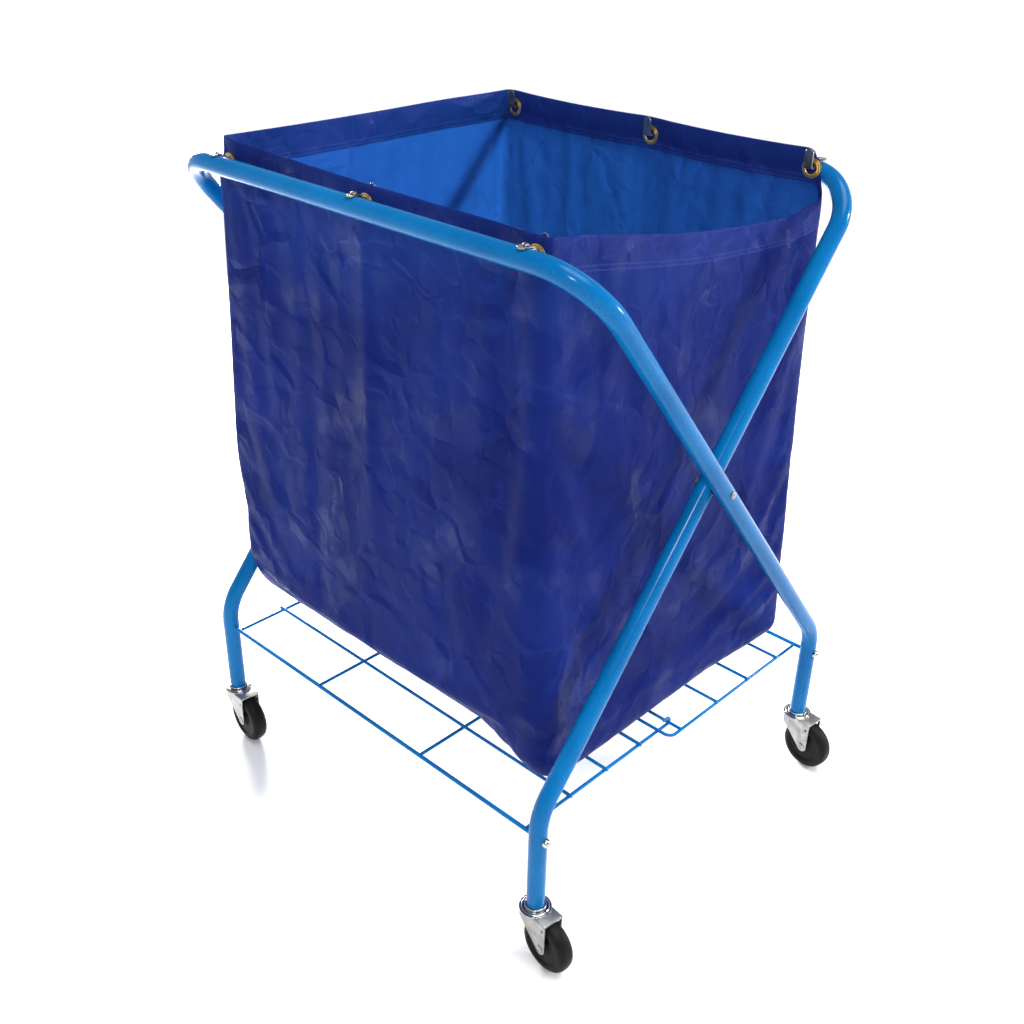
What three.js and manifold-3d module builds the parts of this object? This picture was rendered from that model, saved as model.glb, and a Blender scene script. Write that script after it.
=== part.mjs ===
// Folding laundry cart: two crossed tube frames on swivel casters, an open cloth bag hung between
// their top rails, and a wire shelf that folds up in the middle between their legs.
// Millimetres. X runs from the outer frame's rail to the inner frame's rail, Y along the rails, Z up.

import * as THREE from "three";
import { mergeVertices } from "three/addons/utils/BufferGeometryUtils.js";
import Module from "manifold-3d";

const wasm = await Module();
wasm.setup();

const GAP = 0.3; // clearance between pieces that touch on the real cart
const SHIFT_Y = 23.34; // puts the origin under the middle of the whole cart, casters included

// Tube frames. Each frame is one tube: leg, diagonal, top rail, diagonal, leg.
const TUBE_R = 12.7;
const TUBE_WALL = 1.5;
const RAIL_X = 288;
const RAIL_Z = 966;
const LEG_X = 306;
const KNEE_Z = 252; // where the diagonals turn down into the legs
const TUBE_END_Z = 95;
const RAIL_BEND_R = 76;
const LEG_BEND_R = 80;
const OUTER_Y = 369;
const SPACER_T = 2;
const INNER_Y = OUTER_Y - 2 * TUBE_R - SPACER_T - 2 * GAP;
const PIVOT_Z = KNEE_Z + ((RAIL_Z - KNEE_Z) * LEG_X) / (LEG_X + RAIL_X);

// Pins and bolts that run along Y.
const PIN_R = 3;
const BORE_R = PIN_R + GAP;
const ROD_Z = 213;

// Bag and its hooks.
const BAG_HALF_X = 268.5;
const BAG_HALF_Y = 295;
const BAG_TOP_Z = 998;
const BAG_BOTTOM_Z = 234;
const BAG_CORNER_R = 5;
const BAG_BELLY_Z = 400; // where the empty bag bulges most
const BAG_BELLY_X = 8;
const BAG_BELLY_Y = 19;
const NEAR_HEM_SAG = 72;
const FAR_HEM_SAG = 12;
const OUTER_HEM_SAG = 9; // the hem hangs lower along the outer rail, but not at its far end
const HEM_LOW_AT = 0.86; // share of the near side, from the outer frame, where the hem is lowest
const CLOTH_T = 2;
const EYELET_Z = { outer: 965, inner: 972 };
const EYELET_HOLE_R = 8;
const EYELET_BARREL_R = 9.5;
const EYELET_R = 14;
const HOOK_W = 13;
const HOOK_T = 2;
const HOOK_TIP_Z = { outer: 988, inner: 999 };
const HOOK_Y = {
  outer: { near: -275, middle: 0, far: 275 },
  inner: { near: -277, middle: -8, far: 265 },
};
const RIVET_R = 2;
const RIVET_INWARD = 2; // from the rail's axis towards the bag

// Wire shelf: rods along Y in the legs, thinner wires between them.
const WIRE_R = 2.5;
const HINGE_LIFT = WIRE_R + GAP / 2; // half the height between the two layers where they overlap
const HALF_TILT = Math.asin(HINGE_LIFT / LEG_X);
const OUTER_SIDE_Y = 344;
const INNER_SIDE_Y = 318;
const CROSS_WIRE_Y = 113;
const EDGE_WIRE_X = -26;

// Casters.
const WHEEL_R = 41;
const WHEEL_SIDES = 20;
const TRAIL = 28;
const CASTER_YAW = THREE.MathUtils.degToRad(-5);
const CROWN_Z = 85;
const CROWN_T = 3;
const FORK_HALF_X = 16.5;
const FORK_PLATE_T = 2;
const RACE_Z = CROWN_Z + CROWN_T + GAP;
const FLANGE_Z = 91.5;

const sheen = (color, metalness, roughness) => () =>
  new THREE.MeshStandardMaterial({ color, metalness, roughness });
const paint = sheen(0x0a7cc0, 0.1, 0.35);
const wirePaint = sheen(0x08549a, 0.1, 0.35);
const cloth = sheen(0x252c84, 0, 0.8);
const hookSteel = sheen(0x4c4f55, 0.8, 0.4);
const brass = sheen(0xb8964a, 0.9, 0.35);
const chrome = sheen(0xd0d2d4, 1, 0.2);
const zinc = sheen(0xb4b7ba, 0.9, 0.4);
const blackRubber = sheen(0x16161a, 0, 0.7);
const blackPlastic = sheen(0x202024, 0, 0.5);

const cart = new THREE.Group();
cart.position.y = SHIFT_Y;

const piece = (name, geometry, material) => {
  const mesh = new THREE.Mesh(geometry, material());
  mesh.name = name;
  return mesh;
};

// ---- solids -------------------------------------------------------------------------------

const toSolid = (geometry) => {
  const bare = new THREE.BufferGeometry();
  const source = geometry.index ? geometry.toNonIndexed() : geometry;
  bare.setAttribute("position", source.getAttribute("position"));
  const merged = mergeVertices(bare, 1e-4);
  const mesh = new wasm.Mesh({
    numProp: 3,
    vertProperties: merged.attributes.position.array,
    triVerts: new Uint32Array(merged.index.array),
  });
  return new wasm.Manifold(mesh);
};

const toGeometry = (solid) => {
  const mesh = solid.getMesh();
  const geometry = new THREE.BufferGeometry();
  geometry.setAttribute("position", new THREE.BufferAttribute(mesh.vertProperties, 3));
  geometry.setIndex(new THREE.BufferAttribute(mesh.triVerts, 1));
  return geometry;
};

const join = (geometries) => {
  const solids = geometries.map(toSolid);
  return toGeometry(solids.reduce((all, next) => all.add(next)));
};

const cut = (geometry, cutters) => {
  const whole = toSolid(geometry);
  return toGeometry(cutters.map(toSolid).reduce((rest, next) => rest.subtract(next), whole));
};

const cylinderY = (radius, length, x, z, sides = 12) =>
  new THREE.CylinderGeometry(radius, radius, length, sides).translate(x, 0, z);

// Turns a closed profile of [radius, height] pairs about Z. Pairs run anticlockwise.
const turned = (profile, sides) => {
  const points = [...profile, profile[0]].map(([r, h]) => new THREE.Vector2(r, h));
  return new THREE.LatheGeometry(points, sides).rotateX(Math.PI / 2);
};

const alongX = (geometry) => geometry.rotateY(Math.PI / 2);
const alongY = (geometry, direction) => geometry.rotateX((-direction * Math.PI) / 2);

// ---- bent tubes, rods and strips ----------------------------------------------------------

// Straight runs between corners, joined by round bends of the given centre-line radius.
const bentStations = (corners, radius, bendSteps) => {
  const points = corners.map((corner) => new THREE.Vector3(...corner));
  const first = points[1].clone().sub(points[0]).normalize();
  const stations = [{ point: points[0], tangent: first }];
  for (let i = 1; i < points.length - 1; i++) {
    const before = points[i].clone().sub(points[i - 1]).normalize();
    const after = points[i + 1].clone().sub(points[i]).normalize();
    const turn = before.angleTo(after);
    const bendR = Array.isArray(radius) ? radius[i - 1] : radius;
    const axis = before.clone().cross(after).normalize();
    const start = points[i].clone().addScaledVector(before, -bendR * Math.tan(turn / 2));
    const inward = axis.clone().cross(before);
    const centre = start.clone().addScaledVector(inward, bendR);
    const steps = Math.max(2, Math.round((bendSteps * turn) / (Math.PI / 2)));
    for (let k = 0; k <= steps; k++) {
      const angle = (turn * k) / steps;
      const spoke = inward.clone().multiplyScalar(-bendR).applyAxisAngle(axis, angle);
      const tangent = before.clone().applyAxisAngle(axis, angle);
      stations.push({ point: centre.clone().add(spoke), tangent });
    }
  }
  const last = points.length - 1;
  const end = points[last].clone().sub(points[last - 1]).normalize();
  stations.push({ point: points[last], tangent: end });
  return stations;
};

// A curve that passes through its stations at equal steps of its parameter.
class StationCurve extends THREE.Curve {
  constructor(stations) {
    super();
    this.stations = stations;
  }
  at(u) {
    return this.stations[Math.round(u * (this.stations.length - 1))];
  }
  getPoint(u) {
    return this.at(u).point.clone();
  }
  getTangent(u) {
    return this.at(u).tangent.clone();
  }
  getUtoTmapping(u) {
    return u;
  }
}

const circlePoints = (radius, sides) =>
  Array.from({ length: sides }, (_, i) => {
    const angle = (2 * Math.PI * i) / sides;
    return new THREE.Vector2(radius * Math.cos(angle), radius * Math.sin(angle));
  });

const sweep = (stations, outerR, innerR, sides) => {
  const section = new THREE.Shape(circlePoints(outerR, sides));
  if (innerR > 0) section.holes.push(new THREE.Path(circlePoints(innerR, sides)));
  return new THREE.ExtrudeGeometry(section, {
    steps: stations.length - 1,
    extrudePath: new StationCurve(stations),
    bevelEnabled: false,
  });
};

const wire = (corners, radius = WIRE_R, bendR = 12) =>
  sweep(bentStations(corners, bendR, 4), radius, 0, 8);

// ---- frames -------------------------------------------------------------------------------

// side is -1 for the frame whose rail is at -X (its legs are at +X) and +1 for the other one.
const frameGeometry = (side, halfY, hookY) => {
  const corners = [
    [-side * LEG_X, -halfY, TUBE_END_Z],
    [-side * LEG_X, -halfY, KNEE_Z],
    [side * RAIL_X, -halfY, RAIL_Z],
    [side * RAIL_X, halfY, RAIL_Z],
    [-side * LEG_X, halfY, KNEE_Z],
    [-side * LEG_X, halfY, TUBE_END_Z],
  ];
  const radii = [LEG_BEND_R, RAIL_BEND_R, RAIL_BEND_R, LEG_BEND_R];
  const tube = sweep(bentStations(corners, radii, 6), TUBE_R, TUBE_R - TUBE_WALL, 14);
  const through = 2 * halfY + 60;
  const rivetX = side * (RAIL_X - RIVET_INWARD);
  const rivetHoles = Object.values(hookY).map((y) =>
    new THREE.CylinderGeometry(RIVET_R + GAP, RIVET_R + GAP, 30, 10)
      .rotateX(Math.PI / 2)
      .translate(rivetX, y, RAIL_Z + 15),
  );
  return cut(tube, [
    cylinderY(BORE_R, through, 0, PIVOT_Z),
    cylinderY(BORE_R, through, -side * LEG_X, ROD_Z),
    ...rivetHoles,
  ]);
};

const addFrames = () => {
  cart.add(piece("outer_frame", frameGeometry(-1, OUTER_Y, HOOK_Y.outer), paint));
  cart.add(piece("inner_frame", frameGeometry(1, INNER_Y, HOOK_Y.inner), paint));
};

// Bolt head outside the outer tube, spacer between the tubes, nut inside the inner tube.
const addPivots = () => {
  const headY = OUTER_Y + TUBE_R + GAP;
  const nutY = INNER_Y - TUBE_R - GAP;
  const nutT = 5;
  const boltEndY = nutY - nutT - 1.5;
  const bolt = [
    [0, boltEndY],
    [PIN_R, boltEndY],
    [PIN_R, headY],
    [5, headY],
    [5, headY + 1.2],
    [3, headY + 2.6],
    [0, headY + 3],
  ];
  const spacer = [
    [BORE_R, -SPACER_T / 2],
    [9, -SPACER_T / 2],
    [9, SPACER_T / 2],
    [BORE_R, SPACER_T / 2],
  ];
  const nutBoreR = BORE_R / Math.cos(Math.PI / 6);
  const nut = [
    [nutBoreR, -nutT],
    [5.8, -nutT],
    [5.8, 0],
    [nutBoreR, 0],
  ];
  const spacerY = INNER_Y + TUBE_R + GAP + SPACER_T / 2;
  for (const [end, sign] of [["near", -1], ["far", 1]]) {
    const add = (name, profile, sides, y, material) => {
      const mesh = piece(`${name}_${end}`, alongY(turned(profile, sides), sign), material);
      mesh.position.set(0, sign * y, PIVOT_Z);
      cart.add(mesh);
    };
    add("pivot_bolt", bolt, 12, 0, zinc);
    add("pivot_spacer", spacer, 16, spacerY, blackPlastic);
    add("pivot_nut", nut, 6, nutY, zinc);
  }
};

// ---- bag, eyelets and hooks ---------------------------------------------------------------

// A level loop round the bag with rounded corners and evenly spaced points along its four sides.
const roundedLoop = (halfX, halfY, cornerR, z) => {
  const cornerSteps = 2;
  const sideSteps = 10;
  const corners = [0, 1, 2, 3].map((corner) => {
    const signX = corner === 0 || corner === 3 ? 1 : -1;
    const signY = corner < 2 ? 1 : -1;
    return Array.from({ length: cornerSteps + 1 }, (_, k) => {
      const angle = (Math.PI / 2) * (corner + k / cornerSteps);
      const x = signX * (halfX - cornerR) + cornerR * Math.cos(angle);
      const y = signY * (halfY - cornerR) + cornerR * Math.sin(angle);
      return new THREE.Vector3(x, y, z);
    });
  });
  return corners.flatMap((arc, corner) => {
    const start = arc[cornerSteps];
    const end = corners[(corner + 1) % 4][0];
    const side = Array.from({ length: sideSteps - 1 }, (_, k) =>
      start.clone().lerp(end, (k + 1) / sideSteps),
    );
    return [...arc, ...side];
  });
};

// Lowers a hem loop: a deep slack curve on the near side, a shallow one on the far side, and a slant
// along the outer rail.
const sagged = (loop) => {
  const straight = Math.max(...loop.map((p) => p.x)) - BAG_CORNER_R;
  const halfY = Math.max(...loop.map((p) => p.y));
  for (const point of loop) {
    const across = Math.min(Math.max(point.x / straight, -1), 1);
    const fromOuter = (across + 1) / 2;
    if (point.y < -halfY + 0.1) {
      const slope = Math.sin((Math.PI / 2) * Math.min(fromOuter / HEM_LOW_AT, 1)) ** 1.15;
      const past = Math.max(fromOuter - HEM_LOW_AT, 0) / (1 - HEM_LOW_AT);
      point.z -= NEAR_HEM_SAG * slope * Math.cos((Math.PI / 2) * past);
    } else if (point.y > halfY - 0.1) {
      point.z -= FAR_HEM_SAG * (1 - across ** 2);
    }
    const fromNear = (point.y / halfY + 1) / 2;
    point.z -= (OUTER_HEM_SAG * (1 - across) * (1 - fromNear ** 3)) / 2;
  }
  return loop;
};

// Skins a stack of loops with equal numbers of points, and closes the first and last loop.
const skinned = (loops) => {
  const count = loops[0].length;
  const positions = [];
  const face = (...corners) => corners.forEach((c) => positions.push(c.x, c.y, c.z));
  for (let i = 0; i < loops.length - 1; i++) {
    for (let k = 0; k < count; k++) {
      const next = (k + 1) % count;
      face(loops[i][k], loops[i][next], loops[i + 1][next]);
      face(loops[i][k], loops[i + 1][next], loops[i + 1][k]);
    }
  }
  const first = loops[0];
  const last = loops[loops.length - 1];
  for (let k = 1; k < count - 1; k++) {
    face(first[0], first[k + 1], first[k]);
    face(last[0], last[k], last[k + 1]);
  }
  const geometry = new THREE.BufferGeometry();
  geometry.setAttribute("position", new THREE.Float32BufferAttribute(positions, 3));
  return geometry;
};

const eyeletPlaces = () =>
  Object.entries({ outer: -1, inner: 1 }).flatMap(([frame, side]) =>
    Object.entries(HOOK_Y[frame]).map(([place, y]) => ({ name: `${frame}_${place}`, frame, side, y })),
  );

// An open-topped bag that bulges below its hooks and has soft lower edges: up the outside, over the
// hem, down the inside. Its rail sides turn under in a wide curve and its end sides in a tight one.
const bagGeometry = () => {
  const skinLoop = (wideX, wideY, z, thickness) => {
    const halfX = BAG_HALF_X + wideX - thickness;
    const halfY = BAG_HALF_Y + wideY - thickness;
    return roundedLoop(halfX, halfY, BAG_CORNER_R - thickness, z);
  };
  const skin = (thickness) => {
    const lift = (height) => BAG_BOTTOM_Z + height + thickness;
    return [
      skinLoop(-66, -16, BAG_BOTTOM_Z + thickness, thickness),
      skinLoop(-36, 4, lift(12), thickness),
      skinLoop(-12, 14, lift(38), thickness),
      skinLoop(4, BAG_BELLY_Y, lift(84), thickness),
      skinLoop(BAG_BELLY_X, BAG_BELLY_Y, BAG_BELLY_Z, thickness),
      skinLoop(5, 12, 640, thickness),
      skinLoop(0, 0, 900, thickness),
      sagged(skinLoop(0, 0, BAG_TOP_Z, thickness)),
    ];
  };
  const shell = skinned([...skin(0), ...skin(CLOTH_T).reverse()]);
  const holes = eyeletPlaces().map(({ frame, side, y }) =>
    new THREE.CylinderGeometry(EYELET_BARREL_R + GAP, EYELET_BARREL_R + GAP, 40, 14)
      .rotateZ(Math.PI / 2)
      .translate(side * BAG_HALF_X, y, EYELET_Z[frame]),
  );
  return cut(shell, holes);
};

// A spool: two flanges pressed together through the cloth.
const eyeletGeometry = () => {
  const inner = CLOTH_T / 2 + GAP;
  const outer = 2.5;
  return alongX(
    turned(
      [
        [EYELET_HOLE_R, -outer],
        [EYELET_R - 1, -outer],
        [EYELET_R, -inner],
        [EYELET_BARREL_R, -inner],
        [EYELET_BARREL_R, inner],
        [EYELET_R, inner],
        [EYELET_R - 1, outer],
        [EYELET_HOLE_R, outer],
      ],
      12,
    ),
  );
};

// A strip of a given thickness along stations in the XY plane.
const stripShape = (stations, thickness) => {
  const offset = (distance) =>
    stations.map(
      ({ point, tangent }) =>
        new THREE.Vector2(point.x - tangent.y * distance, point.y + tangent.x * distance),
    );
  return new THREE.Shape([...offset(-thickness / 2), ...offset(thickness / 2).reverse()]);
};

// A long plate of the strip's width that ends in a half circle at the origin and runs to -length.
const roundEndedPlate = (length, depth) => {
  const r = HOOK_W / 2;
  const shape = new THREE.Shape();
  shape.moveTo(-r, -length);
  shape.lineTo(r, -length);
  shape.lineTo(r, -r);
  shape.absarc(0, -r, r, 0, Math.PI, false);
  return new THREE.ExtrudeGeometry(shape, { depth, bevelEnabled: false, curveSegments: 4 });
};

// Flat hook strip about the rail's axis: flat on the rail, down through the eyelet, up inside the bag.
// The outer rail's hooks are bent down further before they go through the cloth.
const hookGeometry = (frame) => {
  const topZ = TUBE_R + GAP + HOOK_T / 2;
  const riserX = 31;
  const tailX = -9;
  const way = {
    outer: [[6, topZ, 0], [19, topZ - 13, 0], [riserX, topZ - 13.4, 0]],
    inner: [[5, topZ, 0], [riserX, topZ - 9, 0]],
  };
  const tipZ = HOOK_TIP_Z[frame] - RAIL_Z;
  const corners = [[tailX, topZ, 0], ...way[frame], [riserX, tipZ, 0]];
  const radii = frame === "outer" ? [5, 4, 4] : [6, 4];
  const band = new THREE.ExtrudeGeometry(stripShape(bentStations(corners, radii, 3), HOOK_T), {
    depth: HOOK_W,
    bevelEnabled: false,
  })
    .translate(0, 0, -HOOK_W / 2)
    .rotateX(Math.PI / 2);
  const tipTrim = roundEndedPlate(60, 80)
    .rotateX(Math.PI / 2)
    .rotateZ(Math.PI / 2)
    .translate(-20, 0, tipZ);
  const tailTrim = roundEndedPlate(60, 60).rotateZ(Math.PI / 2).translate(tailX, 0, -10);
  const rounded = toSolid(band).intersect(toSolid(tipTrim)).intersect(toSolid(tailTrim));
  const rivetHole = new THREE.CylinderGeometry(RIVET_R + GAP, RIVET_R + GAP, 10, 10)
    .rotateX(Math.PI / 2)
    .translate(RIVET_INWARD, 0, topZ);
  return toGeometry(rounded.subtract(toSolid(rivetHole)));
};

const rivetGeometry = () => {
  const seat = TUBE_R + 2 * GAP + HOOK_T;
  return turned(
    [
      [0, TUBE_R - 4],
      [RIVET_R, TUBE_R - 4],
      [RIVET_R, seat],
      [4.2, seat],
      [3.4, seat + 1.4],
      [0, seat + 2.1],
    ],
    10,
  );
};

const addBag = () => {
  cart.add(piece("bag", bagGeometry(), cloth));
  const eyelet = eyeletGeometry();
  const hooks = { outer: hookGeometry("outer"), inner: hookGeometry("inner") };
  const rivet = rivetGeometry();
  for (const { name, frame, side, y } of eyeletPlaces()) {
    const ring = piece(`${name}_eyelet`, eyelet, brass);
    ring.position.set(side * (BAG_HALF_X - CLOTH_T / 2), y, EYELET_Z[frame]);
    const strip = piece(`${name}_hook`, hooks[frame], hookSteel);
    strip.position.set(side * RAIL_X, y, RAIL_Z);
    strip.rotation.z = side > 0 ? Math.PI : 0;
    const pin = piece(`${name}_hook_rivet`, rivet, hookSteel);
    pin.position.set(side * (RAIL_X - RIVET_INWARD), y, RAIL_Z);
    cart.add(ring, strip, pin);
  }
};

// ---- wire shelf ---------------------------------------------------------------------------

// Long wires lie on the side and cross wires, pressed 1.5 mm into them where they are welded.
const WELD_LIFT = 2 * WIRE_R - 1.5;
const longWire = (x, halfY, z = 0) => wire([[x, -halfY, z], [x, halfY, z]]);

// The half hung on the outer frame's legs, drawn flat about its rod at x = LEG_X, z = 0.
// Its side wires turn into an edge wire that rests on the other half's side wires.
const outerShelfGeometry = () => {
  const rodHalf = OUTER_Y + TUBE_R + GAP + 5;
  const rim = wire([
    [LEG_X, -OUTER_SIDE_Y, 0],
    [EDGE_WIRE_X, -OUTER_SIDE_Y, 0],
    [EDGE_WIRE_X, OUTER_SIDE_Y, 0],
    [LEG_X, OUTER_SIDE_Y, 0],
  ]);
  const crossWires = [-CROSS_WIRE_Y, CROSS_WIRE_Y].map((y) =>
    wire([[LEG_X, y, 0], [0, y, 0]]),
  );
  return join([
    cylinderY(PIN_R, 2 * rodHalf, LEG_X, 0, 10),
    rim,
    longWire(0, OUTER_SIDE_Y),
    ...[87, 168.5, 249].map((x) => longWire(x, OUTER_SIDE_Y + 1, WELD_LIFT)),
    ...crossWires,
  ]);
};

// The half hung on the inner frame's legs, drawn flat about its rod at x = -LEG_X, z = 0.
// Its side wires run under the other half's edge and hinge wires and curl back over the hinge wire.
const innerShelfGeometry = () => {
  const rodHalf = INNER_Y - TUBE_R - 2 * GAP;
  const curlR = 2 * WIRE_R + GAP;
  const sideWires = [-INNER_SIDE_Y, INNER_SIDE_Y].map((y) =>
    wire(
      [
        [-LEG_X, y, 0],
        [curlR, y, 0],
        [curlR, y, 2 * curlR],
        [-9, y, 2 * curlR],
      ],
      WIRE_R,
      curlR - 0.01,
    ),
  );
  const crossWires = [-CROSS_WIRE_Y, CROSS_WIRE_Y].map((y) =>
    wire([[-LEG_X, y, 0], [-65, y, 0]]),
  );
  return join([
    cylinderY(PIN_R, 2 * rodHalf, -LEG_X, 0, 10),
    ...sideWires,
    ...[-219.5, -143.5, -68].map((x) => longWire(x, INNER_SIDE_Y + 5, WELD_LIFT)),
    ...crossWires,
  ]);
};

// Tilts a half about its rod so that the hinge wire sits one wire above the curled side wires.
const tilted = (geometry, rodX, angle) =>
  geometry.translate(-rodX, 0, 0).rotateY(angle).translate(rodX, 0, ROD_Z);

const capProfile = [
  [BORE_R, 0],
  [6.5, 0],
  [6.5, 2],
  [5.6, 4.8],
  [3.5, 6.6],
  [0, 7.4],
  [0, 5.6],
  [BORE_R, 5.6],
];

const addShelf = () => {
  const outerHalf = tilted(outerShelfGeometry(), LEG_X, HALF_TILT);
  const innerHalf = tilted(innerShelfGeometry(), -LEG_X, HALF_TILT);
  cart.add(piece("outer_shelf_half", outerHalf, wirePaint));
  cart.add(piece("inner_shelf_half", innerHalf, wirePaint));
  const pin = [
    [0, INNER_Y - TUBE_R - GAP],
    [PIN_R, INNER_Y - TUBE_R - GAP],
    [PIN_R, INNER_Y + TUBE_R + GAP + 5],
    [0, INNER_Y + TUBE_R + GAP + 5],
  ];
  for (const [end, sign] of [["near", -1], ["far", 1]]) {
    const add = (name, profile, x, y, material) => {
      const mesh = piece(`${name}_${end}`, alongY(turned(profile, 12), sign), material);
      mesh.position.set(x, sign * y, ROD_Z);
      cart.add(mesh);
    };
    add("outer_rod_cap", capProfile, LEG_X, OUTER_Y + TUBE_R + GAP, chrome);
    add("inner_rod_cap", capProfile, -LEG_X, INNER_Y + TUBE_R + GAP, chrome);
    add("inner_rod_pin", pin, -LEG_X, 0, wirePaint);
  }
};

// ---- casters ------------------------------------------------------------------------------

// Spigot in the leg, flange under the tube, kingpin through race and crown, riveted below.
const stemGeometry = () =>
  turned(
    [
      [0, CROWN_Z - GAP - 3.5],
      [8, CROWN_Z - GAP - 3.5],
      [8, CROWN_Z - GAP],
      [5, CROWN_Z - GAP],
      [5, FLANGE_Z],
      [15, FLANGE_Z],
      [15, TUBE_END_Z - GAP],
      [10.6, TUBE_END_Z - GAP],
      [10.6, TUBE_END_Z + 30],
      [0, TUBE_END_Z + 30],
    ],
    12,
  );

const raceGeometry = () =>
  turned(
    [
      [5 + GAP, RACE_Z],
      [22.5, RACE_Z],
      [22.5, RACE_Z + 1.2],
      [19, RACE_Z + 1.6],
      [19, FLANGE_Z - GAP],
      [5 + GAP, FLANGE_Z - GAP],
    ],
    16,
  );

// Crown plate round the kingpin with two side plates that narrow down to the axle.
const forkGeometry = () => {
  const backY = -TRAIL - 8.5;
  const crown = new THREE.Shape();
  const frontR = 22;
  const meetAngle = Math.acos(FORK_HALF_X / frontR);
  crown.moveTo(-FORK_HALF_X, backY);
  crown.lineTo(FORK_HALF_X, backY);
  crown.absarc(0, 0, frontR, -meetAngle, Math.PI + meetAngle, false);
  crown.holes.push(new THREE.Path(circlePoints(5 + 2 * GAP, 10)));
  const crownPlate = new THREE.ExtrudeGeometry(crown, {
    depth: CROWN_T,
    bevelEnabled: false,
    curveSegments: 9,
  }).translate(0, 0, CROWN_Z);

  const endR = 8.5;
  const frontEdgeAngle = THREE.MathUtils.degToRad(-18); // where the front edge leaves the round end
  const plate = new THREE.Shape();
  plate.moveTo(14, CROWN_Z + CROWN_T / 2);
  plate.lineTo(backY, CROWN_Z + CROWN_T / 2);
  plate.absarc(-TRAIL, WHEEL_R, endR, Math.PI, 2 * Math.PI + frontEdgeAngle, false);
  plate.lineTo(14, CROWN_Z - 12);
  plate.holes.push(
    new THREE.Path(
      circlePoints(BORE_R, 8).map((p) => p.add(new THREE.Vector2(-TRAIL, WHEEL_R))),
    ),
    new THREE.Path(circlePoints(2, 6).map((p) => p.add(new THREE.Vector2(-TRAIL - 3, 76)))),
  );
  const sideways = new THREE.Matrix4().makeBasis(
    new THREE.Vector3(0, 1, 0),
    new THREE.Vector3(0, 0, 1),
    new THREE.Vector3(1, 0, 0),
  );
  const plates = [-FORK_HALF_X, FORK_HALF_X - FORK_PLATE_T].map((x) =>
    new THREE.ExtrudeGeometry(plate, {
      depth: FORK_PLATE_T,
      bevelEnabled: false,
      curveSegments: 5,
    })
      .applyMatrix4(sideways)
      .translate(x, 0, 0),
  );
  return join([crownPlate, ...plates]);
};

const axleGeometry = () => {
  const seat = FORK_HALF_X + GAP;
  return alongX(
    turned(
      [
        [0, -seat - 1.3],
        [5.5, -seat - 1.3],
        [5.5, -seat],
        [PIN_R, -seat],
        [PIN_R, seat],
        [5.5, seat],
        [5.5, seat + 1.3],
        [0, seat + 1.3],
      ],
      10,
    ),
  );
};

// Solid wheel with a shallow dish on both faces. Its tread has flat sides, one of them on the floor.
const wheelGeometry = () => {
  const half = [
    [BORE_R, -13],
    [12, -13],
    [14, -10.5],
    [28, -10.5],
    [31, -12.5],
    [37.5, -10.5],
    [WHEEL_R, -5],
  ];
  const mirrored = half.map(([r, h]) => [r, -h]).reverse();
  const reach = 1 / Math.cos(Math.PI / WHEEL_SIDES);
  const profile = [...half, ...mirrored].map(([r, h]) => [r > BORE_R ? r * reach : r, h]);
  return alongX(turned(profile, WHEEL_SIDES)).rotateX(Math.PI / WHEEL_SIDES);
};

const addCasters = () => {
  const stem = stemGeometry();
  const race = raceGeometry();
  const fork = forkGeometry();
  const axle = axleGeometry();
  const wheel = wheelGeometry();
  const places = [
    ["outer_near_caster", LEG_X, -OUTER_Y],
    ["outer_far_caster", LEG_X, OUTER_Y],
    ["inner_near_caster", -LEG_X, -INNER_Y],
    ["inner_far_caster", -LEG_X, INNER_Y],
  ];
  for (const [name, x, y] of places) {
    const caster = new THREE.Group();
    caster.position.set(x, y, 0);
    const swivel = new THREE.Group();
    swivel.rotation.z = CASTER_YAW;
    const axlePiece = piece(`${name}_axle`, axle, zinc);
    axlePiece.position.set(0, -TRAIL, WHEEL_R);
    const wheelPiece = piece(`${name}_wheel`, wheel, blackRubber);
    wheelPiece.position.set(0, -TRAIL, WHEEL_R);
    swivel.add(piece(`${name}_fork`, fork, zinc), axlePiece, wheelPiece);
    caster.add(piece(`${name}_stem`, stem, chrome), piece(`${name}_race`, race, chrome), swivel);
    cart.add(caster);
  }
};

addFrames();
addPivots();
addBag();
addShelf();
addCasters();

const group = new THREE.Group();
group.add(cart);

export default group;
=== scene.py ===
"""Looks of the folding laundry cart: smooth tubes and wires, fine casters and a simulated cloth bag.

Metres. X runs across the cart from the outer frame's rail to the inner frame's, Y along the rails, Z up.
"""

import math

import bpy  # noqa: E402
import numpy as np  # noqa: E402
from mathutils import Matrix, Quaternion, Vector  # noqa: E402


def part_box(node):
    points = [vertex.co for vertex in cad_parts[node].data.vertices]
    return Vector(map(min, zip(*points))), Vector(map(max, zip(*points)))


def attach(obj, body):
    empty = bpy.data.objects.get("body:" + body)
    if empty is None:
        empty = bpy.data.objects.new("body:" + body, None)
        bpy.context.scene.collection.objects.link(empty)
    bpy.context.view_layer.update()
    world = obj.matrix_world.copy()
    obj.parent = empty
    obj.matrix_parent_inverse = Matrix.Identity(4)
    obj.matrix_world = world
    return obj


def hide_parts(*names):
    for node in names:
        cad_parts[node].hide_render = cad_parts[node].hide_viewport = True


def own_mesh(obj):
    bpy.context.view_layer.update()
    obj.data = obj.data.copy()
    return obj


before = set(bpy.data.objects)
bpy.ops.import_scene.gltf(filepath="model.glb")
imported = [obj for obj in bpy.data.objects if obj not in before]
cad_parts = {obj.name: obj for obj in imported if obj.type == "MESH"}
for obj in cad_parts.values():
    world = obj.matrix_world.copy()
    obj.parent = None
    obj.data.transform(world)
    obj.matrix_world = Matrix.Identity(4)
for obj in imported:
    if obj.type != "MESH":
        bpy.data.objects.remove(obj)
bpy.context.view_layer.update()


def middle(node):
    low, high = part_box(node)
    return (low + high) / 2


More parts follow.
